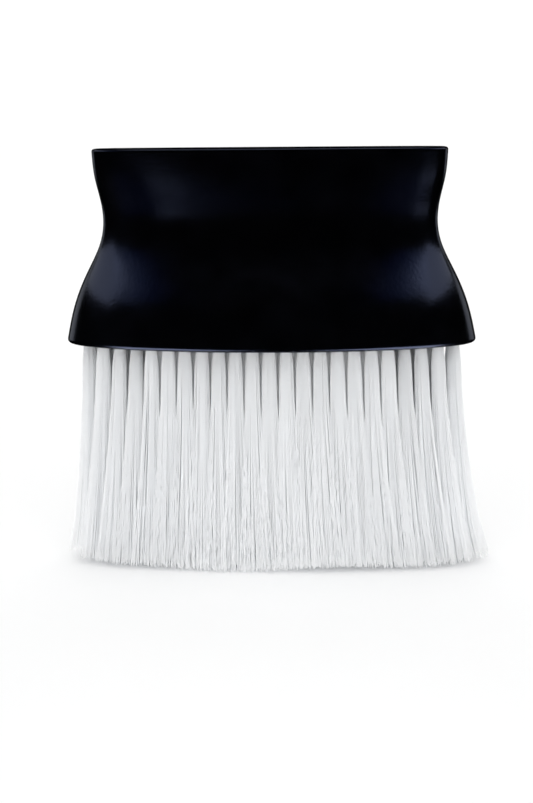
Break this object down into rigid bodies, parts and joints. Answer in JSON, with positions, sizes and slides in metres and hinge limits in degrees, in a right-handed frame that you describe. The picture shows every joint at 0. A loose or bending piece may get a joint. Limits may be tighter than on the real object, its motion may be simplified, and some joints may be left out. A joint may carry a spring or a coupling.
{
  "type": "neck duster brush",
  "caption": "Wide neck duster brush with a waisted hollow handle that flares to an oval mouth, and long soft straight bristle tufts for sweeping away cut hair.",
  "frame": {"origin": "centre of the bristle tips, on the surface that the brush stands on", "axes": "+X along the handle's width, +Y from the front to the rear, +Z from the bristle tips up to the handle's top"},
  "size_m": [0.122, 0.0438, 0.1223],
  "materials": {
    "handle": "glossy moulded black with a faint moulding texture",
    "block": "satin black, drilled",
    "bristle": "translucent white nylon filament",
    "anchor": "drawn wire"
  },
  "bodies": {
    "root": {"handle_shell": "handle", "tuft_block": "block", "front_tuft_01": "bristle", "front_tuft_02": "bristle", "front_tuft_03": "bristle", "front_tuft_04": "bristle", "front_tuft_05": "bristle", "front_tuft_06": "bristle", "front_tuft_07": "bristle", "front_tuft_08": "bristle", "front_tuft_09": "bristle", "front_tuft_10": "bristle", "front_tuft_11": "bristle", "front_tuft_12": "bristle", "front_tuft_13": "bristle", "front_tuft_14": "bristle", "front_tuft_15": "bristle", "front_tuft_16": "bristle", "front_tuft_17": "bristle", "front_tuft_18": "bristle", "front_tuft_19": "bristle", "front_tuft_20": "bristle", "front_tuft_21": "bristle", "front_tuft_22": "bristle", "front_tuft_23": "bristle", "inner_tuft_row_2": "bristle", "inner_tuft_row_3": "bristle", "inner_tuft_row_4": "bristle", "inner_tuft_row_5": "bristle", "rear_tuft_01": "bristle", "rear_tuft_02": "bristle", "rear_tuft_03": "bristle", "rear_tuft_04": "bristle", "rear_tuft_05": "bristle", "rear_tuft_06": "bristle", "rear_tuft_07": "bristle", "rear_tuft_08": "bristle", "rear_tuft_09": "bristle", "rear_tuft_10": "bristle", "rear_tuft_11": "bristle", "rear_tuft_12": "bristle", "rear_tuft_13": "bristle", "rear_tuft_14": "bristle", "rear_tuft_15": "bristle", "rear_tuft_16": "bristle", "rear_tuft_17": "bristle", "rear_tuft_18": "bristle", "rear_tuft_19": "bristle", "rear_tuft_20": "bristle", "rear_tuft_21": "bristle", "rear_tuft_22": "bristle", "rear_tuft_23": "bristle"}
  },
  "joints": []
}
